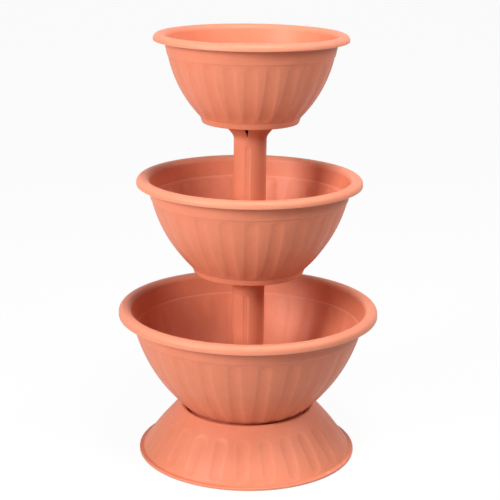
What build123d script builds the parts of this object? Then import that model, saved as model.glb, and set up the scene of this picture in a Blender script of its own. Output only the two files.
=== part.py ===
from build123d import *
from math import asin, atan2, cos, degrees, hypot, radians, sin, sqrt
import os

# A tiered planter: three fluted bowls on two posts, stacked on a fluted base skirt.
# Millimetres, +Z up, origin on the floor at the centre of the base.

# Flutes, the same on every moulding
flute_count = 24
flute_radius = 45.0
flute_depth = 1.1
flute_sector = 14.0

# Base skirt
base_radius = 169.5
base_wall = 2.8
base_height = 75.5
flange_width = 6.6
flange_height = 4.0
ring_radius = 104.3
ring_width = 4.2
ring_round = 2.0
flank_curve = 380.0
seat_depth = 16.1
seat_width = 11.0
seat_hem = 9.0
seat_clearance = 0.6
rib_count = 12
rib_wall = 2.4
rib_drop = 34.0
base_flute_top_margin = 32.0
base_flute_foot_margin = 14.0
base_turn = -2.3

# Walls and details shared by the three bowls
bowl_wall = 2.4
floor_recess = 5.0
foot_wall = 2.8
step_out = 1.0
lip_outer_round = 7.8
lip_inner_round = 8.8
flute_top_margin = 15.0
flute_foot_margin = 12.5
drain_count = 8
drain_diameter = 7.0

# Bottom bowl
bottom_rim_radius = 200.0
bottom_height = 175.9
bottom_neck_radius = 184.6
bottom_lip_drop = 12.4
bottom_step_depth = 33.0
bottom_step_radius = 176.0
bottom_wall_curve = 252.8
bottom_foot_radius = 90.5
bottom_foot_top_radius = 92.5
bottom_foot_height = 13.2
bottom_turn = 8.2

# Middle bowl
middle_rim_radius = 171.2
middle_height = 147.8
middle_neck_radius = 155.4
middle_lip_drop = 10.8
middle_step_depth = 29.7
middle_step_radius = 149.5
middle_wall_curve = 218.2
middle_foot_radius = 84.0
middle_foot_top_radius = 87.0
middle_foot_height = 8.6
middle_turn = 1.0

# Top bowl
top_rim_radius = 145.0
top_height = 131.1
top_neck_radius = 131.0
top_lip_drop = 9.8
top_step_depth = 28.5
top_step_radius = 124.0
top_wall_curve = 185.8
top_foot_radius = 72.6
top_foot_top_radius = 75.5
top_foot_height = 8.6
top_turn = -0.5

# Posts: one moulding, used twice
post_length = 229.0
post_radius = 24.75
post_wall = 2.5
post_groove_count = 4
post_groove_width = 7.0
post_groove_depth = 0.8
post_groove_margin = 14.0
crown_radius = 50.0
crown_neck = 44.0
flare_height = 25.0
flare_round = 16.0
pad_round = 4.0
notch_depth = 25.5
notch_width = 10.7
post_turn = -9.0

# Spigots on the bowl floors and locating rings under them
post_fit = 0.4
crown_fit = 0.5
spigot_height = 32.0
spigot_round = 4.0
locating_wall = 2.4
locating_height = 3.5

# Half the angle between flutes
half_pitch = 180 / flute_count

# Levels of the stack
floor_top = floor_recess + bowl_wall
bottom_level = base_height - seat_depth
lower_post_level = bottom_level + floor_top
middle_level = lower_post_level + post_length - floor_recess
upper_post_level = middle_level + floor_top
top_level = upper_post_level + post_length - floor_recess


def upright(level, angle=0):
    """Section plane through the axis, turned by an angle, with its zero at a level of the stack."""
    out = (cos(radians(angle)), sin(radians(angle)), 0)
    return Plane(origin=(0, 0, level), x_dir=out, z_dir=(out[1], -out[0], 0))


def arc_centre(low, high, curve):
    """Centre of the wall's arc through two points, on the side of the axis."""
    run = high[0] - low[0]
    rise = high[1] - low[1]
    chord = hypot(run, rise)
    reach = sqrt(curve**2 - chord**2 / 4)
    return (
        (low[0] + high[0]) / 2 - reach * rise / chord,
        (low[1] + high[1]) / 2 + reach * run / chord,
    )


def arc_angle(centre, point):
    """Direction of a point from the centre of the wall's arc, in degrees."""
    return degrees(atan2(point[1] - centre[1], point[0] - centre[0]))


def arc_radius(centre, curve, height):
    """How far the wall's arc stands from the axis at a height."""
    return centre[0] + sqrt(curve**2 - (height - centre[1]) ** 2)


def arc_height(centre, curve, radius):
    """How high the wall's arc stands at a distance from the axis."""
    return centre[1] - sqrt(curve**2 - (radius - centre[0]) ** 2)


def flute(level, centre, curve, low, high, wall, inside):
    """One flute of a curved wall: the hollow outside, or the ridge that it raises inside."""
    low_angle = radians(arc_angle(centre, low))
    high_angle = radians(arc_angle(centre, high))
    path = curve + flute_radius - flute_depth
    bore = flute_radius + wall if inside else flute_radius
    mid_wall = curve - wall / 2
    near, far = (mid_wall - wall, mid_wall) if inside else (mid_wall, curve + wall / 8)
    pivot = Vector(centre[0], 0, level + centre[1])
    outward = Vector(cos(high_angle), 0, sin(high_angle))
    along = Vector(-sin(high_angle), 0, cos(high_angle))
    ends = [pivot + outward * path, pivot + Vector(cos(low_angle), 0, sin(low_angle)) * path]
    sweep_angle = degrees(high_angle - low_angle)
    end_angle = degrees(asin(flute_radius / path)) / 2
    band_start = degrees(low_angle) - end_angle
    band_angle = sweep_angle + 2 * end_angle

    with BuildPart() as rod:
        with BuildSketch(Plane(origin=ends[0], x_dir=outward, z_dir=along)):
            Circle(bore)
        revolve(axis=Axis(pivot, (0, 1, 0)), revolution_arc=sweep_angle)
        with Locations(*ends):
            Sphere(bore)

    with BuildPart() as lens:
        with BuildSketch(upright(level, -flute_sector / 2)):
            with BuildLine():
                near_arc = CenterArc(centre, near, band_start, band_angle)
                far_arc = CenterArc(centre, far, band_start, band_angle)
                Line(near_arc @ 0, far_arc @ 0)
                Line(near_arc @ 1, far_arc @ 1)
            make_face()
        revolve(axis=Axis.Z, revolution_arc=flute_sector)
        add(rod.part, mode=Mode.INTERSECT)
    return lens.part


def flute_ends(centre, curve, low, high, low_margin, high_margin):
    """Points on the wall's arc where a flute's rod ends, inside the two ends of the wall."""
    low_angle = radians(arc_angle(centre, low)) + low_margin / curve
    high_angle = radians(arc_angle(centre, high)) - high_margin / curve
    angles = (low_angle, high_angle)
    return [(centre[0] + curve * cos(angle), centre[1] + curve * sin(angle)) for angle in angles]


def make_base():
    """Base skirt: a domed cone with a floor flange, a top ring, a seat ledge and ribs under the ledge."""
    flank_foot = (base_radius - flange_width, flange_height)
    flank_top = (ring_radius, base_height)
    seat_radius = bottom_foot_radius + seat_clearance
    seat_inner = seat_radius - seat_width
    hem_foot = bottom_level - seat_hem
    half_wall = base_wall / 2
    under_ring = base_height - base_wall
    rib_foot = base_height - rib_drop
    centre = arc_centre(flank_foot, flank_top, flank_curve)
    top_angle = arc_angle(centre, flank_top)
    margins = (base_flute_foot_margin, base_flute_top_margin)
    ends = flute_ends(centre, flank_curve, flank_foot, flank_top, *margins)
    hollow = flute(0, centre, flank_curve, *ends, base_wall, inside=False)

    with BuildPart() as rib:
        with BuildSketch(upright(0)):
            with BuildLine():
                Polyline(
                    (seat_inner + half_wall, hem_foot),
                    (seat_inner + half_wall, bottom_level - half_wall),
                    (seat_radius + half_wall, bottom_level - half_wall),
                    (ring_radius - ring_width + half_wall, under_ring),
                    (arc_radius(centre, flank_curve - half_wall, under_ring), under_ring),
                    (arc_radius(centre, flank_curve - half_wall, rib_foot), rib_foot),
                    close=True,
                )
            make_face()
        extrude(amount=rib_wall / 2, both=True)

    with BuildPart() as base:
        with BuildSketch(upright(0, base_turn + half_pitch)):
            with BuildLine() as skin:
                Polyline((base_radius, 0), (base_radius, flange_height), flank_foot)
                CenterArc(centre, flank_curve, top_angle, arc_angle(centre, flank_foot) - top_angle)
                Polyline(
                    flank_top,
                    (ring_radius - ring_width, base_height),
                    (seat_radius, bottom_level),
                    (seat_inner, bottom_level),
                    (seat_inner, hem_foot),
                )
                fillet(skin.vertices().group_by(Axis.Y)[-1], ring_round)
                offset(amount=base_wall, side=Side.LEFT)
            make_face()
        revolve(axis=Axis.Z)
        with PolarLocations(0, flute_count, start_angle=base_turn):
            add(hollow, mode=Mode.SUBTRACT)
        with PolarLocations(0, rib_count, start_angle=base_turn + half_pitch):
            add(rib.part)
    return base.part


def make_bowl(
    level,
    rim_radius,
    height,
    neck_radius,
    lip_drop,
    step_depth,
    step_radius,
    wall_curve,
    foot_radius,
    foot_top_radius,
    foot_height,
    turn,
    carries_post,
    stands_on_post,
):
    """Fluted bowl: a thin shell with a hooded lip, a step under the lip and a foot ring."""
    step_level = height - step_depth
    foot_top = (foot_top_radius, foot_height)
    step = (step_radius, step_level)
    centre = arc_centre(foot_top, step, wall_curve)
    inner_curve = wall_curve - bowl_wall
    step_inner = arc_radius(centre, inner_curve, step_level)
    floor_radius = arc_radius(centre, inner_curve, floor_top)
    step_angle = arc_angle(centre, (step_inner, step_level))
    floor_angle = arc_angle(centre, (floor_radius, floor_top))
    lip_inner = neck_radius - bowl_wall
    spigot_radius = post_radius - post_wall - post_fit
    spigot_top = floor_top + spigot_height
    foot_inner = foot_radius - foot_wall
    foot_root = max(arc_height(centre, wall_curve, foot_inner), floor_recess) + bowl_wall / 2
    locating_radius = crown_radius + crown_fit
    drain_circle = (locating_radius + locating_wall + min(floor_radius, foot_inner)) / 2
    ends = flute_ends(centre, wall_curve, foot_top, step, flute_foot_margin, flute_top_margin)
    hollow = flute(level, centre, wall_curve, *ends, bowl_wall, inside=False)
    ridge = flute(level, centre, wall_curve, *ends, bowl_wall, inside=True)

    with BuildPart() as bowl:
        with BuildSketch(upright(level, turn + half_pitch)):
            with BuildLine():
                FilletPolyline(
                    (rim_radius, height - lip_drop),
                    (rim_radius, height),
                    (lip_inner, height),
                    (step_inner + step_out, step_level),
                    (step_inner, step_level),
                    radius=[lip_outer_round, lip_inner_round, 0],
                )
                CenterArc(centre, inner_curve, floor_angle, step_angle - floor_angle)
                if carries_post:
                    FilletPolyline(
                        (floor_radius, floor_top),
                        (spigot_radius, floor_top),
                        (spigot_radius, spigot_top),
                        (0, spigot_top),
                        radius=[0, spigot_round],
                    )
                else:
                    Line((floor_radius, floor_top), (0, floor_top))
                offset(amount=bowl_wall, side=Side.LEFT)
            make_face()
        revolve(axis=Axis.Z)
        with BuildSketch(upright(level, turn + half_pitch)):
            with BuildLine():
                Polyline(
                    (foot_inner, 0),
                    (foot_radius, 0),
                    (foot_top_radius, foot_height + bowl_wall / 2),
                    (foot_inner, foot_root),
                    close=True,
                )
            make_face()
        revolve(axis=Axis.Z)
        if stands_on_post:
            with BuildSketch(Plane.XY.offset(level + floor_recess - locating_height)):
                Circle(locating_radius + locating_wall)
                Circle(locating_radius, mode=Mode.SUBTRACT)
            extrude(amount=locating_height + bowl_wall / 2)
        with BuildSketch(Plane.XY.offset(level + floor_recess)):
            with PolarLocations(drain_circle, drain_count):
                Circle(drain_diameter / 2)
        extrude(amount=bowl_wall, mode=Mode.SUBTRACT)
        with PolarLocations(0, flute_count, start_angle=turn):
            add(ridge)
        with PolarLocations(0, flute_count, start_angle=turn):
            add(hollow, mode=Mode.SUBTRACT)
    return bowl.part


def make_post(level):
    """Post: a round tube that splays at its top into a crown of four petals, with shallow grooves."""
    bore_radius = post_radius - post_wall
    notch_foot = post_length - notch_depth
    groove_length = notch_foot - 2 * post_groove_margin

    with BuildPart() as notch:
        with BuildSketch(Plane(origin=(0, 0, level + post_length), x_dir=(0, 1, 0), z_dir=(1, 0, 0))):
            with BuildLine():
                Polyline((-notch_width / 2, 0), (0, -notch_depth), (notch_width / 2, 0), close=True)
            make_face()
        extrude(amount=2 * crown_radius)

    groove_middle = (post_radius - post_groove_depth, 0, level + notch_foot / 2)
    with BuildPart() as groove:
        with BuildSketch(Plane(origin=groove_middle, x_dir=(0, 0, 1), z_dir=(1, 0, 0))):
            SlotOverall(groove_length, post_groove_width)
        extrude(amount=post_wall)

    with BuildPart() as post:
        with BuildSketch(upright(level)):
            with BuildLine():
                FilletPolyline(
                    (bore_radius, 0),
                    (bore_radius, post_length - flare_height),
                    (crown_neck, post_length),
                    (crown_radius, post_length),
                    radius=[flare_round + post_wall, pad_round],
                )
                offset(amount=post_wall, side=Side.RIGHT)
            make_face()
        revolve(axis=Axis.Z)
        with PolarLocations(0, post_groove_count, start_angle=post_turn):
            add(notch.part, mode=Mode.SUBTRACT)
        with PolarLocations(0, post_groove_count, start_angle=post_turn):
            add(groove.part, mode=Mode.SUBTRACT)
    return post.part


base_skirt = make_base()
bottom_bowl = make_bowl(
    bottom_level,
    bottom_rim_radius,
    bottom_height,
    bottom_neck_radius,
    bottom_lip_drop,
    bottom_step_depth,
    bottom_step_radius,
    bottom_wall_curve,
    bottom_foot_radius,
    bottom_foot_top_radius,
    bottom_foot_height,
    bottom_turn,
    carries_post=True,
    stands_on_post=False,
)
lower_post = make_post(lower_post_level)
middle_bowl = make_bowl(
    middle_level,
    middle_rim_radius,
    middle_height,
    middle_neck_radius,
    middle_lip_drop,
    middle_step_depth,
    middle_step_radius,
    middle_wall_curve,
    middle_foot_radius,
    middle_foot_top_radius,
    middle_foot_height,
    middle_turn,
    carries_post=True,
    stands_on_post=True,
)
upper_post = make_post(upper_post_level)
top_bowl = make_bowl(
    top_level,
    top_rim_radius,
    top_height,
    top_neck_radius,
    top_lip_drop,
    top_step_depth,
    top_step_radius,
    top_wall_curve,
    top_foot_radius,
    top_foot_top_radius,
    top_foot_height,
    top_turn,
    carries_post=False,
    stands_on_post=True,
)

os.makedirs("parts", exist_ok=True)
pieces = {
    "base_skirt": base_skirt,
    "bottom_bowl": bottom_bowl,
    "lower_post": lower_post,
    "middle_bowl": middle_bowl,
    "upper_post": upper_post,
    "top_bowl": top_bowl,
}
for name, piece in pieces.items():
    piece.label = name
    export_step(piece, f"parts/{name}.step")
    box = piece.bounding_box()
    print(f"{name}: {len(piece.solids())} solid, valid {piece.is_valid}, {piece.volume / 1000:.1f} cm3, "
          f"z {box.min.Z:.2f} to {box.max.Z:.2f}, radius {box.max.X:.2f}")
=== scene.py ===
# %% [markdown]
# # A tiered planter in moulded terracotta plastic
# Three fluted bowls stand on two round posts over a flared base skirt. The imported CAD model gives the
# frame: every piece below is drawn in that same frame, rides on its body and stands for its node.

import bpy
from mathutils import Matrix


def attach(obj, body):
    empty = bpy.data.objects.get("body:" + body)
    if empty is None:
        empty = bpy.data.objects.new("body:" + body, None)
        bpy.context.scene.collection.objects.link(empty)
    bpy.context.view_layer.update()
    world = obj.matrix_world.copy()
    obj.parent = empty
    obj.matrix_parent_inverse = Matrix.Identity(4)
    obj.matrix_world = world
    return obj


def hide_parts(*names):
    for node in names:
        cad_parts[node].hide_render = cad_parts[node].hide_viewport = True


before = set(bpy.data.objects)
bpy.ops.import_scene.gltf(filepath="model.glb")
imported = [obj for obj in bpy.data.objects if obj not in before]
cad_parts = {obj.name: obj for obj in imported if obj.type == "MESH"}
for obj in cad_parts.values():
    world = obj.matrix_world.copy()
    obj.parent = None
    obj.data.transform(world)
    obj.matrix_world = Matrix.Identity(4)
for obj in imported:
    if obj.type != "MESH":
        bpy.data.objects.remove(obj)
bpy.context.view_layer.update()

# %% [markdown]
# ## Tools
# The pieces are turned shapes, so numpy works out rings of points and Blender only has to join them
# into faces. Lengths are written in millimetres, as on a drawing, and scaled once when a mesh is made.

# %% Tools and shared sizes
import math

import bmesh
import bpy
import numpy as np
from mathutils import Matrix, Vector

MM = 0.001
FLUTES = 24
FLUTE_DEPTH = 1.1
FLUTE_HALF_WIDTH = 9.0
FLUTE_SOFTNESS = 0.05
FLUTE_CRISPNESS = 0.65
BOWL_WALL = 2.4
FLOOR_RECESS = 5.0
FLOOR_TOP = FLOOR_RECESS + BOWL_WALL
EDGE = 0.6
print(f"{FLUTES} flutes, {FLUTE_DEPTH} mm deep and {2 * FLUTE_HALF_WIDTH} mm wide")

# %% [markdown]
# ## Drawing a section
# A moulding has no truly sharp corners: the cutter that shaped its mould left a small radius everywhere,
# and those radii are what catch the light. A Bevel modifier could round a finished mesh, but it rounds
# every corner alike. So each corner of a section carries its own rounding, and one helper turns the
# corners into a smooth line. Another draws a line beside the first, one wall away.

# %% Section helpers
ROUND_STEP = 12
EDGE_STEP = 45
NEARLY_STRAIGHT = math.radians(89.5)


def unit(vector):
    return vector / np.linalg.norm(vector)


def rounded(corners, step=ROUND_STEP):
    """Points along a line with rounded corners, each given as (distance from axis, height, rounding)."""
    places = [np.array(corner[:2], dtype=float) for corner in corners]
    points = [places[0]]
    for before, here, after, (_, _, rounding) in zip(places, places[1:], places[2:], corners[1:]):
        back, on = unit(before - here), unit(after - here)
        half = math.acos(max(-1.0, min(1.0, float(back @ on)))) / 2
        if rounding == 0 or half > NEARLY_STRAIGHT:
            points.append(here)
            continue
        centre = here + unit(back + on) * rounding / math.sin(half)
        first = here + back * rounding / math.tan(half) - centre
        last = here + on * rounding / math.tan(half) - centre
        start = math.atan2(first[1], first[0])
        turn = (math.atan2(last[1], last[0]) - start + math.pi) % (2 * math.pi) - math.pi
        count = max(2, math.ceil(abs(turn) / math.radians(step if rounding > 2 * EDGE else EDGE_STEP)))
        for angle in np.linspace(start, start + turn, count + 1):
            points.append(centre + rounding * np.array((math.cos(angle), math.sin(angle))))
    points.append(places[-1])
    return points


def beside(places, distance):
    """The same line drawn at a distance on its left."""
    places = [np.array(place, dtype=float) for place in places]
    runs = [unit(after - before) for before, after in zip(places, places[1:])]
    lefts = [np.array((-run[1], run[0])) for run in runs]
    shifted = [places[0] + lefts[0] * distance]
    for place, left, following in zip(places[1:], lefts, lefts[1:]):
        shifted.append(place + (left + following) * distance / (1 + left @ following))
    shifted.append(places[-1] + lefts[-1] * distance)
    return [tuple(place) for place in shifted]


print("a square corner rounded by 3 mm:", len(rounded([(0, 0, 0), (10, 0, 3), (10, 10, 0)])), "points")

# %% [markdown]
# ## The curved wall
# Bowl walls and the skirt's flank bulge a little, so that soil doesn't bend them. A curve object could
# draw that bulge by eye, but an arc is what the mould has, and small formulas give its centre, its
# distance from the axis at a height, and its height at a distance. A section then gathers points: plain
# ones on its lines, and ones on a wall that also know the way out of the wall and their place along it,
# for the flutes. Rows stand close where a flute ends, and far apart where nothing changes.

# %% Wall arcs and sections
SAME_PLACE = 0.001
NEAR_EDGE = 1.2
CLOSE_ROWS = 2.0
WIDE_ROWS = 6.0


def arc_centre(low, high, curve):
    run, rise = high[0] - low[0], high[1] - low[1]
    chord = math.hypot(run, rise)
    reach = math.sqrt(curve**2 - chord**2 / 4)
    return ((low[0] + high[0]) / 2 - reach * rise / chord, (low[1] + high[1]) / 2 + reach * run / chord)


def arc_radius(centre, curve, height):
    return centre[0] + math.sqrt(curve**2 - (height - centre[1]) ** 2)


def arc_height(centre, curve, radius):
    return centre[1] - math.sqrt(curve**2 - (radius - centre[0]) ** 2)


def arc_angle(centre, point):
    return math.atan2(point[1] - centre[1], point[0] - centre[0])


def arc_point(centre, curve, angle):
    return (centre[0] + curve * math.cos(angle), centre[1] + curve * math.sin(angle))


class Section:
    """A section line, from the axis to the axis or back to its own start."""

    def __init__(self):
        self.points, self.outward, self.along = [], [], []

    def add(self, point, outward=(0.0, 0.0), along=0.0):
        if not self.points or np.linalg.norm(np.subtract(point, self.points[-1])) > SAME_PLACE:
            self.points.append(tuple(point))
            self.outward.append(outward)
            self.along.append(along)

    def line(self, corners):
        """Adds a rounded line, with a point near each end of a long run, so that rubbing and painted
        highlight stay on the edges.
        """
        for point in rounded(corners):
            start = np.array(self.points[-1] if self.points else point)
            run = np.array(point) - start
            length = np.linalg.norm(run)
            if length > 4 * NEAR_EDGE:
                self.add(start + run * NEAR_EDGE / length)
                self.add(point - run * NEAR_EDGE / length)
            self.add(point)

    def wall(self, centre, curve, start, end, span):
        """Adds an arc, with close rows round the ends of its flutes and wide rows along them."""
        low, high = sorted((start, end))
        stops = (low, span[0] + CLOSE_ROWS / curve, span[1] - CLOSE_ROWS / curve, high)
        angles = [low]
        for first, last, spacing in zip(stops, stops[1:], (CLOSE_ROWS, WIDE_ROWS, CLOSE_ROWS)):
            angles += list(np.linspace(first, last, math.ceil((last - first) * curve / spacing) + 1)[1:])
        for angle in angles if start < end else angles[::-1]:
            self.add(arc_point(centre, curve, angle), (math.cos(angle), math.sin(angle)), angle)


print("an arc of 252.8 mm through two wall points has its centre at",
      [round(value, 1) for value in arc_centre((92.5, 13.2), (176.0, 142.9), 252.8)])

# %% [markdown]
# ## Turning a section
# Every piece but the posts is turned about one axis. A Screw modifier would make every ring alike, and the
# flutes would have to be cut afterwards. Here each ring's points are pushed in where a flute crosses
# them: a flute is a shallow hollow, deepest on its centre line, with round ends and slightly softened
# edges. The inner skin of a bowl is pushed by the same amount, so the wall keeps its thickness and the
# flutes show as ridges inside, as they do on the real bowls. The columns crowd together at the flutes,
# where the shape changes, and spread out between them.

# %% Lathe
COLUMNS_PER_FLUTE = 20
COLUMN_CROWDING = 0.45
FLUTE_OUT_OF_REACH = -2
SHARP_ANGLE = math.radians(38)


def flute_push(lateral, beyond):
    fullness = 1 - (lateral**2 + beyond**2) / FLUTE_HALF_WIDTH**2
    soft = (fullness + np.sqrt(fullness**2 + FLUTE_SOFTNESS**2)) / 2
    return FLUTE_DEPTH * np.where(fullness > FLUTE_OUT_OF_REACH, soft**FLUTE_CRISPNESS, 0)


def turned(name, section, turn, span, curve):
    """A turned mesh; span holds the first and last angle of a flute's centre line on the wall's arc."""
    points, outward = np.array(section.points), np.array(section.outward)
    along = np.array(section.along)[:, None]
    pitch = 2 * math.pi / FLUTES
    share = np.arange(COLUMNS_PER_FLUTE) / COLUMNS_PER_FLUTE - 0.5
    crowded = share - COLUMN_CROWDING * np.sin(2 * math.pi * share) / (2 * math.pi)
    off_centre = np.tile(crowded * pitch, FLUTES)[None, :]
    flute = np.repeat(np.arange(FLUTES) * pitch, COLUMNS_PER_FLUTE)[None, :]
    angles = math.radians(turn) + off_centre + flute
    beyond = np.maximum(0, np.maximum(span[0] - along, along - span[1])) * curve
    push = flute_push(points[:, :1] * off_centre, beyond)
    radius = points[:, :1] - push * outward[:, :1]
    height = points[:, 1:] - push * outward[:, 1:]
    grid = np.stack((radius * np.cos(angles), radius * np.sin(angles), height), axis=2) * MM

    mesh = bmesh.new()
    rings = []
    for row, point in zip(grid, points):
        if point[0] < SAME_PLACE:
            rings.append([mesh.verts.new(row[0])] * len(row))
        elif rings and np.allclose(point, points[0]):
            rings.append(rings[0])
        else:
            rings.append([mesh.verts.new(place) for place in row])
    for lower, upper in zip(rings, rings[1:]):
        for corners in zip(lower, lower[1:] + lower[:1], upper[1:] + upper[:1], upper):
            mesh.faces.new(list(dict.fromkeys(corners)))
    return finished(name, mesh)


def finished(name, mesh):
    """Makes an object of a mesh, smooth except at its real edges."""
    bmesh.ops.recalc_face_normals(mesh, faces=mesh.faces)
    data = bpy.data.meshes.new(name)
    mesh.to_mesh(data)
    mesh.free()
    piece = bpy.data.objects.new(name, data)
    bpy.context.scene.collection.objects.link(piece)
    smooth(piece)
    print(f"{name}: {len(data.polygons)} faces")
    return piece


def smooth(piece):
    piece.data.shade_smooth()
    piece.data.set_sharp_from_angle(angle=SHARP_ANGLE)


def baked(piece):
    """Keeps what the modifiers make of a piece as its own mesh."""
    shaped = piece.evaluated_get(bpy.context.evaluated_depsgraph_get())
    mesh = bpy.data.meshes.new_from_object(shaped)
    piece.modifiers.clear()
    piece.data = mesh
    smooth(piece)


print("the lathe turns", FLUTES * COLUMNS_PER_FLUTE, "columns")

# %% [markdown]
# ## Bowls
# The bowls hold the soil. They differ in size and in what stands on or under them, so one recipe and a
# table of sizes serve all three, which three separate models would not keep alike. The section starts on
# the axis, crosses the floor, climbs the inside of the wall to a narrow ledge, goes over the hooded lip
# and comes down the outside to the foot ring. The bottom and middle bowls have a hollow spigot on the
# floor for the post; the middle and top bowls have a low ring under the floor that finds its crown.

# %% Bowl sizes
BOWLS = {
    "bottom_bowl": dict(
        level=59.4, rim=200.0, height=175.9, neck=184.6, lip_drop=12.4, step_depth=33.0, step=176.0,
        curve=252.8, foot=90.5, foot_top=92.5, foot_height=13.2, turn=8.2, spigot=True, ring=False,
    ),
    "middle_bowl": dict(
        level=290.8, rim=171.2, height=147.8, neck=155.4, lip_drop=10.8, step_depth=29.7, step=149.5,
        curve=218.2, foot=84.0, foot_top=87.0, foot_height=8.6, turn=1.0, spigot=True, ring=True,
    ),
    "top_bowl": dict(
        level=522.2, rim=145.0, height=131.1, neck=131.0, lip_drop=9.8, step_depth=28.5, step=124.0,
        curve=185.8, foot=72.6, foot_top=75.5, foot_height=8.6, turn=-0.5, spigot=False, ring=True,
    ),
}
STEP_OUT = 1.0
LIP_OUTER_ROUND = 7.8
LIP_INNER_ROUND = 8.8
FOOT_WALL = 2.8
FLUTE_TOP_MARGIN = 15.0
FLUTE_FOOT_MARGIN = 12.5
SPIGOT_RADIUS = 21.85
SPIGOT_HEIGHT = 32.0
SPIGOT_ROUND = 4.0
RING_RADIUS = 50.5
RING_WALL = 2.4
RING_HEIGHT = 3.5
FLOOR_ROUND = 4.0
WALL_MARGIN = 4.0
DRAIN_BAND = 4.5
print("bowl rims:", [2 * bowl["rim"] for bowl in BOWLS.values()], "mm across")


# %% Bowl section
def inside_corners(bowl, floor, drains):
    """From the axis over any spigot and the band of drain holes to the foot of the wall."""
    spigot_top = FLOOR_TOP + SPIGOT_HEIGHT
    middle = [(0, FLOOR_TOP, 0)]
    if bowl["spigot"]:
        middle = [(0, spigot_top, 0), (SPIGOT_RADIUS, spigot_top, SPIGOT_ROUND),
                  (SPIGOT_RADIUS, FLOOR_TOP, EDGE / 2)]
    band = [(drains - DRAIN_BAND, FLOOR_TOP, 0), (drains + DRAIN_BAND, FLOOR_TOP, 0)]
    return middle + band + [(floor, FLOOR_TOP, FLOOR_ROUND)]


def underside_corners(bowl, centre, drains):
    """From the outer wall down the foot ring and along the underside to the axis."""
    foot_in = bowl["foot"] - FOOT_WALL
    root = arc_height(centre, bowl["curve"], foot_in)
    corners = [
        (bowl["foot_top"], bowl["foot_height"], 2 * EDGE), (bowl["foot"], 0, EDGE), (foot_in, 0, EDGE),
    ]
    if root > FLOOR_RECESS:
        wall_end = arc_radius(centre, bowl["curve"], FLOOR_RECESS)
        corners += [(foot_in, root, EDGE), (wall_end, FLOOR_RECESS, EDGE)]
    else:
        corners += [(foot_in, FLOOR_RECESS, EDGE)]
    corners += [(drains + DRAIN_BAND, FLOOR_RECESS, 0), (drains - DRAIN_BAND, FLOOR_RECESS, 0)]
    if bowl["ring"]:
        ring_out, ring_foot = RING_RADIUS + RING_WALL, FLOOR_RECESS - RING_HEIGHT
        corners += [
            (ring_out, FLOOR_RECESS, EDGE), (ring_out, ring_foot, EDGE),
            (RING_RADIUS, ring_foot, EDGE), (RING_RADIUS, FLOOR_RECESS, EDGE / 2),
        ]
    if bowl["spigot"]:
        bore, roof = SPIGOT_RADIUS - BOWL_WALL, FLOOR_TOP + SPIGOT_HEIGHT - BOWL_WALL
        return corners + [(bore, FLOOR_RECESS, EDGE), (bore, roof, SPIGOT_ROUND - BOWL_WALL), (0, roof, 0)]
    return corners + [(0, FLOOR_RECESS, 0)]


def bowl_section(bowl):
    """The whole section of a bowl, and the angles between which its flutes run."""
    ledge, curve = bowl["height"] - bowl["step_depth"], bowl["curve"]
    inner = curve - BOWL_WALL
    foot_top, step = (bowl["foot_top"], bowl["foot_height"]), (bowl["step"], ledge)
    centre = arc_centre(foot_top, step, curve)
    ledge_in = (arc_radius(centre, inner, ledge), ledge)
    ledge_out = (arc_radius(centre, curve, ledge - BOWL_WALL), ledge - BOWL_WALL)
    floor = arc_radius(centre, inner, FLOOR_TOP)
    lip_in = bowl["neck"] - BOWL_WALL
    lip = [(ledge_in[0] + STEP_OUT, ledge), (lip_in, bowl["height"]), (bowl["rim"], bowl["height"]),
           (bowl["rim"], bowl["height"] - bowl["lip_drop"])]
    hood = beside([ledge_in] + lip, -BOWL_WALL)[:0:-1]
    margin = WALL_MARGIN / curve
    low_in = arc_angle(centre, (floor, FLOOR_TOP)) + margin
    high_in = arc_angle(centre, ledge_in) - margin
    high_out = arc_angle(centre, ledge_out) - margin
    low_out = arc_angle(centre, foot_top) + margin

    span = (arc_angle(centre, foot_top) + FLUTE_FOOT_MARGIN / curve,
            arc_angle(centre, step) - FLUTE_TOP_MARGIN / curve)
    drains = (RING_RADIUS + RING_WALL + min(floor, bowl["foot"] - FOOT_WALL)) / 2
    section = Section()
    section.line(inside_corners(bowl, floor, drains) + [(*arc_point(centre, inner, low_in), 0)])
    section.wall(centre, inner, low_in, high_in, span)
    section.line([
        (*arc_point(centre, inner, high_in), 0), (*ledge_in, EDGE / 2), (*lip[0], EDGE / 2),
        (*lip[1], LIP_INNER_ROUND), (*lip[2], LIP_OUTER_ROUND), (*lip[3], EDGE), (*hood[0], EDGE),
        (*hood[1], LIP_OUTER_ROUND - BOWL_WALL), (*hood[2], LIP_INNER_ROUND - BOWL_WALL),
        (*hood[3], EDGE / 2), (*ledge_out, EDGE / 2), (*arc_point(centre, curve, high_out), 0),
    ])
    section.wall(centre, curve, high_out, low_out, span)
    section.line([(*arc_point(centre, curve, low_out), 0)] + underside_corners(bowl, centre, drains))
    return section, span, drains


for node, bowl in BOWLS.items():
    section, _, drains = bowl_section(bowl)
    print(f"{node}: {len(section.points)} points, drain holes {drains:.1f} mm from the axis")

# %% [markdown]
# ## Drain holes
# Each bowl floor has a circle of round holes so that water can run out. Holes could be left in the rings
# as the lathe makes them, but they would follow its columns and not be round. The turned floor is one
# flat ring, so a Boolean with a circle of pins cuts them cleanly through it.

# %% Turn and drain the bowls
DRAINS = 8
DRAIN_RADIUS = 3.5
PIN_SIDES = 32


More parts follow.
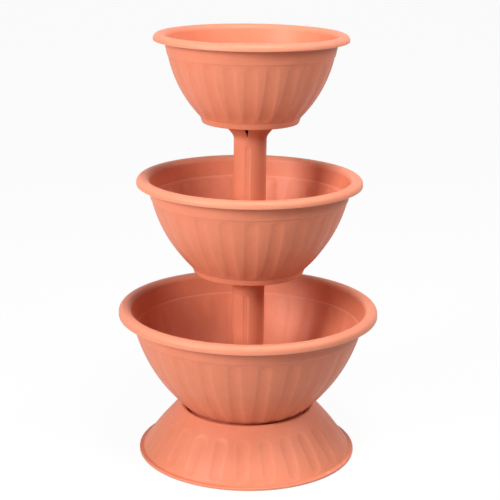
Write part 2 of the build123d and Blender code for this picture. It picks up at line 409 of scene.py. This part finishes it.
def drained(bowl, circle):
    pins = bmesh.new()
    for number in range(DRAINS):
        angle = 2 * math.pi * number / DRAINS
        place = Vector((circle * math.cos(angle), circle * math.sin(angle), (FLOOR_RECESS + FLOOR_TOP) / 2))
        bmesh.ops.create_cone(
            pins, cap_ends=True, segments=PIN_SIDES, radius1=DRAIN_RADIUS * MM, radius2=DRAIN_RADIUS * MM,
            depth=3 * BOWL_WALL * MM, matrix=Matrix.Translation(place * MM),
        )
    cutter = finished("drain_pins", pins)
    cut = bowl.modifiers.new("drains", "BOOLEAN")
    cut.operation = "DIFFERENCE"
    cut.object = cutter
    baked(bowl)
    bpy.data.meshes.remove(cutter.data)


def raised(piece, level):
    """Lifts a piece's points to their level, so that its object stays at the origin."""
    piece.data.transform(Matrix.Translation((0, 0, level * MM)))
    return piece


pieces = {}
for node, bowl in BOWLS.items():
    section, span, drains = bowl_section(bowl)
    moulding = turned(f"{node}_moulding", section, bowl["turn"], span, bowl["curve"])
    drained(moulding, drains)
    pieces[node] = raised(moulding, bowl["level"])

# %% [markdown]
# ## Base skirt
# The skirt is a domed cone with a thin flange on the floor. Its top rolls into a ring, drops inside
# that ring to a ledge, and ends in a short hem: the bottom bowl's foot sits on the ledge. It could be a
# thin sheet with a Solidify modifier, but that would blur the seat, so both skins are drawn. The section
# comes back to its own start, because the skirt is open in the middle.

# %% Base skirt
BASE_RADIUS = 169.5
BASE_WALL = 2.8
BASE_HEIGHT = 75.5
FLANGE_WIDTH = 6.6
FLANGE_HEIGHT = 4.0
FLANGE_ROUND = 1.4
TOP_RADIUS = 104.3
TOP_WIDTH = 4.2
TOP_ROUND = 2.0
FLANK_CURVE = 380.0
SEAT_LEVEL = 59.4
SEAT_RADIUS = 91.1
SEAT_WIDTH = 11.0
SEAT_HEM = 9.0
BASE_FLUTE_TOP_MARGIN = 32.0
BASE_FLUTE_FOOT_MARGIN = 14.0
BASE_TURN = -2.3
INNER_STEPS = 9

flank_foot = (BASE_RADIUS - FLANGE_WIDTH, FLANGE_HEIGHT)
flank_top = (TOP_RADIUS, BASE_HEIGHT)
flank_centre = arc_centre(flank_foot, flank_top, FLANK_CURVE)
foot_angle, top_angle = arc_angle(flank_centre, flank_foot), arc_angle(flank_centre, flank_top)
flank_margin = WALL_MARGIN / FLANK_CURVE
flank_inner = FLANK_CURVE - BASE_WALL
seat_in = SEAT_RADIUS - SEAT_WIDTH
seat = [(TOP_RADIUS - TOP_WIDTH, BASE_HEIGHT), (SEAT_RADIUS, SEAT_LEVEL), (seat_in, SEAT_LEVEL),
        (seat_in, SEAT_LEVEL - SEAT_HEM)]
seat_back = beside([flank_top] + seat, BASE_WALL)[:0:-1]
flange_in, flange_roof = BASE_RADIUS - BASE_WALL, FLANGE_HEIGHT - BASE_WALL
ring_roof = BASE_HEIGHT - BASE_WALL

skirt_span = (foot_angle + BASE_FLUTE_FOOT_MARGIN / FLANK_CURVE,
              top_angle - BASE_FLUTE_TOP_MARGIN / FLANK_CURVE)
skirt = Section()
skirt.line([
    (BASE_RADIUS, EDGE, 0), (BASE_RADIUS, FLANGE_HEIGHT, FLANGE_ROUND), (*flank_foot, FLANGE_ROUND),
    (*arc_point(flank_centre, FLANK_CURVE, foot_angle + flank_margin), 0),
])
skirt.wall(flank_centre, FLANK_CURVE, foot_angle + flank_margin, top_angle - flank_margin, skirt_span)
skirt.line([
    (*arc_point(flank_centre, FLANK_CURVE, top_angle - flank_margin), 0), (*flank_top, TOP_ROUND),
    (*seat[0], TOP_ROUND), (*seat[1], EDGE), (*seat[2], 2 * EDGE), (*seat[3], EDGE),
    (*seat_back[0], EDGE), (*seat_back[1], EDGE), (*seat_back[2], EDGE), (*seat_back[3], EDGE),
    (arc_radius(flank_centre, flank_inner, ring_roof), ring_roof, EDGE),
    *((*arc_point(flank_centre, flank_inner, angle), 0)
      for angle in np.linspace(top_angle - flank_margin, foot_angle + flank_margin, INNER_STEPS)),
    (arc_radius(flank_centre, flank_inner, flange_roof), flange_roof, EDGE), (flange_in, flange_roof, EDGE),
    (flange_in, 0, EDGE), (BASE_RADIUS, 0, EDGE), (BASE_RADIUS, EDGE, 0),
])
pieces["base_skirt"] = turned("base_skirt_moulding", skirt, BASE_TURN, skirt_span, FLANK_CURVE)

# %% [markdown]
# ## Ribs under the seat
# Twelve upright ribs under the ledge carry the load of wet soil out to the flank. A Boolean could join
# them to the skirt, at the price of ragged faces along every joint. They are thin plates of the same
# moulding, so they are added to the skirt's own mesh, with their edges inside its walls.

# %% Ribs
RIBS = 12
RIB_WALL = 2.4
RIB_FOOT = 41.5

middle = BASE_WALL / 2
rib_outline = [
    (seat_in + middle, SEAT_LEVEL - SEAT_HEM), (seat_in + middle, SEAT_LEVEL - middle),
    (SEAT_RADIUS + middle, SEAT_LEVEL - middle), (TOP_RADIUS - TOP_WIDTH + middle, ring_roof),
    (arc_radius(flank_centre, FLANK_CURVE - middle, ring_roof), ring_roof),
    (arc_radius(flank_centre, FLANK_CURVE - middle, RIB_FOOT), RIB_FOOT),
]
ribbed = bmesh.new()
ribbed.from_mesh(pieces["base_skirt"].data)
for number in range(RIBS):
    swing = Matrix.Rotation(math.radians(BASE_TURN + 180 / FLUTES + number * 360 / RIBS), 3, "Z")
    near, far = (
        [ribbed.verts.new(swing @ Vector((out, side * RIB_WALL / 2, up)) * MM) for out, up in rib_outline]
        for side in (-1, 1))
    plate = [ribbed.faces.new(near), ribbed.faces.new(far[::-1])]
    plate += [ribbed.faces.new((b, a, c, d)) for a, b, c, d in
              zip(near, near[1:] + near[:1], far, far[1:] + far[:1])]
    bmesh.ops.recalc_face_normals(ribbed, faces=plate)
ribbed.to_mesh(pieces["base_skirt"].data)
ribbed.free()
smooth(pieces["base_skirt"])
print("ribs:", RIBS)

# %% [markdown]
# ## Posts
# A post is a tube whose top splays into four petals, with a narrow V between each two and a shallow
# groove down the tube under each V. Cutting the V out of a finished tube would leave thin slivers where
# it runs into the flare. So the post is drawn as four quarter sheets, outside and inside, whose edges
# draw apart above the root of the V. Below it the quarters meet, and their common points are merged.

# %% Posts
POSTS = {"lower_post": 66.8, "upper_post": 298.2}
POST_LENGTH = 229.0
POST_RADIUS = 24.75
POST_WALL = 2.5
GROOVE_HALF_WIDTH = 3.5
GROOVE_DEPTH = 0.8
GROOVE_ENDS = (17.5, 186.0)
GROOVE_EDGE = 2.0
CROWN_RADIUS = 50.0
CROWN_NECK = 44.0
FLARE_HEIGHT = 25.0
FLARE_ROUND = 16.0
FLARE_STEP = 4
PAD_ROUND = 4.0
NOTCH_DEPTH = 25.5
NOTCH_WIDTH = 10.7
POST_TURN = -9.0
POST_EDGE_ANGLE = math.radians(50)
QUARTER_COLUMNS = 56
GROOVE_FOOT_ROWS = np.arange(8, 24)
GROOVE_MIDDLE_ROWS = np.linspace(24, 178, 12)
GROOVE_TOP_ROWS = np.arange(179, 196)
TUBE_ROWS = np.concatenate((GROOVE_FOOT_ROWS, GROOVE_MIDDLE_ROWS, GROOVE_TOP_ROWS))


def post_skins():
    """Inner and outer points of the post's section, in pairs."""
    bore = POST_RADIUS - POST_WALL
    bends = [
        (bore, 0), (bore, POST_LENGTH - FLARE_HEIGHT),
        (CROWN_NECK, POST_LENGTH), (CROWN_RADIUS, POST_LENGTH),
    ]
    rounds = [0, FLARE_ROUND + POST_WALL, PAD_ROUND, 0]
    inner = rounded([(*place, size) for place, size in zip(bends, rounds)], FLARE_STEP)
    rounds = [0, FLARE_ROUND, PAD_ROUND - POST_WALL, 0]
    bends = beside(bends, -POST_WALL)
    outer = rounded([(*place, size) for place, size in zip(bends, rounds)], FLARE_STEP)
    skins = []
    for skin in (inner, outer):
        tube = [np.array((skin[0][0], height)) for height in TUBE_ROWS]
        skins.append(np.array([skin[0]] + tube + skin[1:]))
    return skins


def groove_push(lateral, height):
    beyond = np.maximum(0, np.maximum(GROOVE_ENDS[0] - height, height - GROOVE_ENDS[1]))
    inside = np.clip(0.5 + (GROOVE_HALF_WIDTH - np.hypot(lateral, beyond)) / GROOVE_EDGE, 0, 1)
    return GROOVE_DEPTH * inside**2 * (3 - 2 * inside)


def quarter_sheet(skin, opening, quarter, grooved):
    """A quarter of one skin, as rows of points; opening is the width of the V at each row."""
    radius, height = skin[:, :1], skin[:, 1:]
    gap = np.arcsin(opening[:, None] / 2 / radius)
    share = np.linspace(0, 1, QUARTER_COLUMNS + 1)[None, :]
    off_start = gap + share * (math.pi / 2 - 2 * gap)
    lateral = radius * np.minimum(off_start, math.pi / 2 - off_start)
    radius = radius - (groove_push(lateral, height) if grooved else 0)
    angle = off_start + math.radians(POST_TURN + 90 * quarter)
    return np.stack((radius * np.cos(angle), radius * np.sin(angle), height + 0 * angle), axis=2) * MM


print("post section:", [len(skin) for skin in post_skins()], "points on its two skins")


# %% Post meshes
def post_moulding(name):
    inner, outer = post_skins()
    opening = np.maximum(0, outer[:, 1] - POST_LENGTH + NOTCH_DEPTH) / NOTCH_DEPTH * NOTCH_WIDTH
    root = np.flatnonzero(opening)[0] - 1
    mesh = bmesh.new()
    for quarter in range(4):
        within, without = (
            [[mesh.verts.new(place) for place in row]
             for row in quarter_sheet(skin, opening, quarter, skin is outer)] for skin in (inner, outer))
        for sheet in (within, without):
            for lower, upper in zip(sheet, sheet[1:]):
                for corners in zip(lower, lower[1:], upper[1:], upper):
                    mesh.faces.new(corners)
        for row in (0, -1):
            for corners in zip(within[row], within[row][1:], without[row][1:], without[row]):
                mesh.faces.new(corners)
        for column in (0, -1):
            for row in range(root, len(inner) - 1):
                mesh.faces.new((within[row][column], within[row + 1][column],
                                without[row + 1][column], without[row][column]))
    bmesh.ops.remove_doubles(mesh, verts=mesh.verts, dist=SAME_PLACE * MM)
    post = finished(name, mesh)
    bevel = post.modifiers.new("edges", "BEVEL")
    bevel.width = EDGE * MM / 2
    bevel.segments = 2
    bevel.limit_method = "ANGLE"
    bevel.angle_limit = POST_EDGE_ANGLE
    baked(post)
    return post


for node, level in POSTS.items():
    pieces[node] = raised(post_moulding(f"{node}_moulding"), level)

# %% [markdown]
# ## Shader maths
# A finish is a small sum of noises and masks. Writing it as sums is easier to read than wiring boxes, so
# a wire wraps one socket and its operators add Math nodes. All other nodes come from one method.


# %% Wires and finishes
class Wire:
    """One output socket, usable in sums."""

    def __init__(self, finish, socket):
        self.finish, self.socket = finish, socket

    def sum(self, operation, first, second):
        return self.finish.node("ShaderNodeMath", {"operation": operation}, {0: first, 1: second})

    def __add__(self, other):
        return self.sum("ADD", self, other)

    def __sub__(self, other):
        return self.sum("SUBTRACT", self, other)

    def __rsub__(self, other):
        return self.sum("SUBTRACT", other, self)

    def __mul__(self, other):
        return self.sum("MULTIPLY", self, other)

    __radd__ = __add__
    __rmul__ = __mul__

    def between(self, low, high):
        """0 below low, 1 above high, and an even slope between."""
        return self.finish.node("ShaderNodeMapRange", {"clamp": True},
                                {"Value": self, "From Min": low, "From Max": high})


class Finish:
    """A sheet of shader nodes: a material's or the world's."""

    def __init__(self, owner):
        owner.use_nodes = True
        self.tree = owner.node_tree
        self.tree.nodes.clear()

    def node(self, kind, settings=None, inputs=None, output=None):
        """Adds a node: its settings first, then the values or wires of its sockets."""
        made = self.tree.nodes.new(kind)
        for key, value in (settings or {}).items():
            setattr(made, key, value)
        for key, value in (inputs or {}).items():
            socket = made.inputs[key] if isinstance(key, int) else next(
                entry for entry in made.inputs if entry.enabled and entry.name == key)
            if isinstance(value, Wire):
                self.tree.links.new(value.socket, socket)
            else:
                socket.default_value = value
        outputs = [entry for entry in made.outputs if entry.enabled and output in (None, entry.name)]
        return Wire(self, outputs[0]) if outputs else None

    def noise(self, place, scale, detail=2.0, roughness=0.5):
        return self.node("ShaderNodeTexNoise", None,
                         {"Vector": place, "Scale": scale, "Detail": detail, "Roughness": roughness})

    def blend(self, low, high, factor):
        return self.node("ShaderNodeMix", {"data_type": "RGBA"}, {"Factor": factor, "A": low, "B": high})

    def vector(self, operation, first, second=(0, 0, 0)):
        return self.node("ShaderNodeVectorMath", {"operation": operation}, {0: first, 1: second})


print("shader maths is ready")

# %% [markdown]
# ## Terracotta plastic
# The planter is moulded in a plastic coloured like fired clay, with a soft sheen. Real mouldings are
# never one flat colour: the pigment clouds a little, streaks follow the way the plastic flowed out from
# the centre of the mould, and the mould's fine grain breaks up the gloss. Edges are painted paler, partly
# as rubbing and partly as a painted highlight for the sheen on the lips. A painted image would need seams
# and would fit one piece only. Noise in the object's own space has no seams and keeps one scale on every
# piece. The floors of the bowls are left out of the paler edges.

# %% Terracotta finish
CLAY = (0.78, 0.25, 0.14, 1)
CLAY_DEEP = (0.63, 0.178, 0.094, 1)
# The paler edge colour below is partly rubbing and partly a painted highlight on the lips.
CLAY_RUBBED_AND_SHEEN = (0.86, 0.42, 0.29, 1)
TONES = {"base_skirt": 0.55, "bottom_bowl": 0.6, "lower_post": 0.5, "middle_bowl": 0.62, "upper_post": 0.64,
         "top_bowl": 0.6}
CLOUD_SCALE = 9.0
CLOUD_SHARE = 0.9
FLECK_SCALE = 420.0
FLECK_SHARE = 0.25
STREAK_SCALE = 14.0
STREAK_SHARE = 0.5
STREAK_CHANGE_UPWARDS = 6
GRAIN_SCALE = 1500.0
GRAIN_STRENGTH = 0.12
GRAIN_DEPTH = 0.0004
EDGE_BLUNT = 0.502
EDGE_SHARP = 0.56
EDGE_WEAR_AND_SHEEN = 0.65
ROUGHNESS = 0.49
STREAK_ROUGHNESS = 0.16
FLECK_ROUGHNESS = 0.1
WORN_SMOOTH = 0.05
GLOSS = 0.3


def terracotta(name, tone, seed, rub_and_sheen_from):
    """The finish of one piece, with edges above a height in metres painted paler: partly rubbing, partly a
    painted highlight.
    """
    material = bpy.data.materials.new(name)
    finish = Finish(material)
    place = finish.node("ShaderNodeTexCoord", output="Object")
    cloudy = finish.vector("ADD", place, (seed, -seed, seed / 2))
    spoke = finish.vector("NORMALIZE", finish.vector("MULTIPLY", place, (1, 1, 0)))
    flow = finish.vector("ADD", spoke, finish.vector("MULTIPLY", cloudy, (0, 0, STREAK_CHANGE_UPWARDS)))
    cloud = finish.noise(cloudy, CLOUD_SCALE, detail=3.0)
    fleck = finish.noise(cloudy, FLECK_SCALE)
    streak = finish.noise(flow, STREAK_SCALE, detail=3.0)
    grain = finish.noise(cloudy, GRAIN_SCALE, detail=3.0, roughness=0.6)
    height = finish.node("ShaderNodeSeparateXYZ", None, {"Vector": place}, output="Z")
    # Convex edges, found by pointiness, are painted paler: partly rubbing, partly a painted highlight.
    rub_and_sheen = finish.node("ShaderNodeNewGeometry", output="Pointiness").between(EDGE_BLUNT, EDGE_SHARP)
    rub_and_sheen = rub_and_sheen * height.between(rub_and_sheen_from, rub_and_sheen_from + EDGE * MM)
    depth = tone + (cloud - 0.5) * CLOUD_SHARE + (fleck - 0.5) * FLECK_SHARE + (streak - 0.5) * STREAK_SHARE
    body = finish.blend(CLAY_DEEP, CLAY, depth.between(0, 1))
    colour = finish.blend(body, CLAY_RUBBED_AND_SHEEN, rub_and_sheen * EDGE_WEAR_AND_SHEEN)
    uneven = (streak - 0.5) * STREAK_ROUGHNESS + (fleck - 0.5) * FLECK_ROUGHNESS
    roughness = ROUGHNESS + uneven - rub_and_sheen * WORN_SMOOTH
    bump = finish.node("ShaderNodeBump", None, {
        "Strength": GRAIN_STRENGTH, "Distance": GRAIN_DEPTH, "Height": grain})
    shader = finish.node("ShaderNodeBsdfPrincipled", None, {
        "Base Color": colour, "Roughness": roughness, "Normal": bump, "Specular IOR Level": GLOSS})
    finish.node("ShaderNodeOutputMaterial", None, {"Surface": shader})
    return material


for seed, (node, piece) in enumerate(sorted(pieces.items())):
    piece.data.materials.clear()
    # The paler edges, partly rubbing and partly a painted highlight, start above a bowl's floor.
    rub_and_sheen_from = (BOWLS[node]["level"] + FLOOR_TOP + WALL_MARGIN) * MM if node in BOWLS else 0.0
    piece.data.materials.append(terracotta(f"terracotta_{node}", TONES[node], float(seed), rub_and_sheen_from))
    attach(piece, node)
    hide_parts(node)
print("finished pieces:", len(pieces))

# %% [markdown]
# ## Floor
# The picture has a white ground, so the floor is pale and mostly shows white to the camera, with enough
# plain floor mixed in to keep the object's soft shadow. White seen by the camera, or in a reflection,
# comes from the Light Path node and adds no light to the object: to the light that bounces off it, the
# floor is a middle grey, so that the undersides of the bowls stay dark. Under the skirt the floor is
# that grey to the camera too, or it would shine through the drain holes.

# %% Floor
FLOOR_SIZE = 60.0
FLOOR_SHOWN_WHITE = 0.95
FLOOR_DIM = (0.46, 0.46, 0.46, 1)
FLOOR_GREY = (0.50, 0.50, 0.50, 1)
FLOOR_PALE = (0.92, 0.92, 0.92, 1)
FLOOR_SPECKLE = 40.0
FLOOR_ROUGHNESS = 0.8
FLOOR_GLOSS = 0.1
UNDER_SKIRT = (BASE_RADIUS - BASE_WALL) * MM
WHITE = (1, 1, 1, 1)
PICTURE_RAYS = ("Camera", "Glossy", "Transmission")


def shown(finish):
    """1 for the rays that carry the picture: from the camera, off gloss and through glass."""
    camera, gloss, glass = (
        finish.node("ShaderNodeLightPath", output=f"Is {ray} Ray") for ray in PICTURE_RAYS)
    return (camera + gloss + glass).between(0, 1)


floor_mesh = bmesh.new()
bmesh.ops.create_grid(floor_mesh, x_segments=1, y_segments=1, size=FLOOR_SIZE / 2)
floor = finished("floor", floor_mesh)
floor_material = bpy.data.materials.new("pale_floor")
floor_finish = Finish(floor_material)
ground = floor_finish.node("ShaderNodeTexCoord", output="Object")
in_the_open = floor_finish.vector("LENGTH", ground).between(UNDER_SKIRT, UNDER_SKIRT + FLANGE_ROUND * MM)
seen = shown(floor_finish) * in_the_open
shade = floor_finish.blend(FLOOR_DIM, FLOOR_GREY, floor_finish.noise(ground, FLOOR_SPECKLE))
paint = floor_finish.node("ShaderNodeBsdfPrincipled", None, {
    "Base Color": floor_finish.blend(shade, FLOOR_PALE, seen), "Roughness": FLOOR_ROUGHNESS,
    "Specular IOR Level": FLOOR_GLOSS})
plain_white = floor_finish.node("ShaderNodeEmission", None, {"Color": WHITE, "Strength": 1.0})
surface = floor_finish.node("ShaderNodeMixShader", None, {
    0: seen * FLOOR_SHOWN_WHITE, 1: paint, 2: plain_white})
floor_finish.node("ShaderNodeOutputMaterial", None, {"Surface": surface})
floor.data.materials.append(floor_material)
print("floor:", FLOOR_SIZE, "m square")

# %% [markdown]
# ## Light
# The light is plain studio light. A wide lamp at the front left shapes the bowls and makes the flutes
# show, a lamp overhead lights the lips and the floors of the bowls, and two weak ones on the right keep
# that side from going dark. A dim, even world fills the deepest hollows. Disks give rounder highlights
# on the lips than squares would.

# %% Light
AMBIENT = 0.06
LAMPS = {
    "key_lamp": dict(place=(-2.0, -1.9, 1.4), target=(0, 0, 0.35), size=1.2, power=84),
    "top_lamp": dict(place=(0.3, -0.8, 2.6), target=(0, 0, 0.35), size=0.8, power=40),
    "side_lamp": dict(place=(2.0, 0.3, 2.1), target=(0, 0, 0.35), size=1.0, power=16),
    "fill_lamp": dict(place=(0.95, -0.9, 1.3), target=(0, 0, 0.45), size=0.5, power=6.5),
}
world = bpy.data.worlds.new("studio")
bpy.context.scene.world = world
sky = Finish(world)
ambient = sky.node("ShaderNodeBackground", None, {"Color": WHITE, "Strength": AMBIENT})
backdrop = sky.node("ShaderNodeBackground", None, {"Color": WHITE, "Strength": 1.0})
sky.node("ShaderNodeOutputWorld", None, {
    "Surface": sky.node("ShaderNodeMixShader", None, {0: shown(sky), 1: ambient, 2: backdrop})})


def lamp(name, place, target, size, power):
    light = bpy.data.lights.new(name, "AREA")
    light.shape = "DISK"
    light.size = size
    light.energy = power
    holder = bpy.data.objects.new(name, light)
    holder.location = place
    holder.rotation_euler = (Vector(target) - Vector(place)).to_track_quat("-Z", "Y").to_euler()
    bpy.context.scene.collection.objects.link(holder)
    print(f"{name}: {power} W, {size} m across")


for name, settings in LAMPS.items():
    lamp(name, **settings)

# %% [markdown]
# ## Camera
# The photograph was taken from a little above the top bowl with a long lens, and the camera was not
# quite level. The lens and the tilt were fitted to the ellipses of the three rims.

# %% Camera
CAMERA_PLACE = (0, -2.0, 0.873)
IMAGE_WIDTH = 500
FOCAL_PIXELS = 1352
AXIS_PIXEL = 248.8
PITCH = math.radians(15.38)
ROLL = math.radians(0.74)
SENSOR_WIDTH = 36.0
camera = bpy.data.cameras.new("camera")
camera.sensor_width = SENSOR_WIDTH
camera.lens = FOCAL_PIXELS / IMAGE_WIDTH * SENSOR_WIDTH
camera.shift_x = (IMAGE_WIDTH / 2 - AXIS_PIXEL) / IMAGE_WIDTH
tripod = bpy.data.objects.new("camera", camera)
tripod.matrix_world = (Matrix.Translation(CAMERA_PLACE) @ Matrix.Rotation(math.pi / 2 - PITCH, 4, "X")
                       @ Matrix.Rotation(ROLL, 4, "Z"))
bpy.context.scene.collection.objects.link(tripod)
bpy.context.scene.camera = tripod
bpy.context.scene.view_settings.view_transform = "Standard"
print(f"lens {camera.lens:.1f} mm")
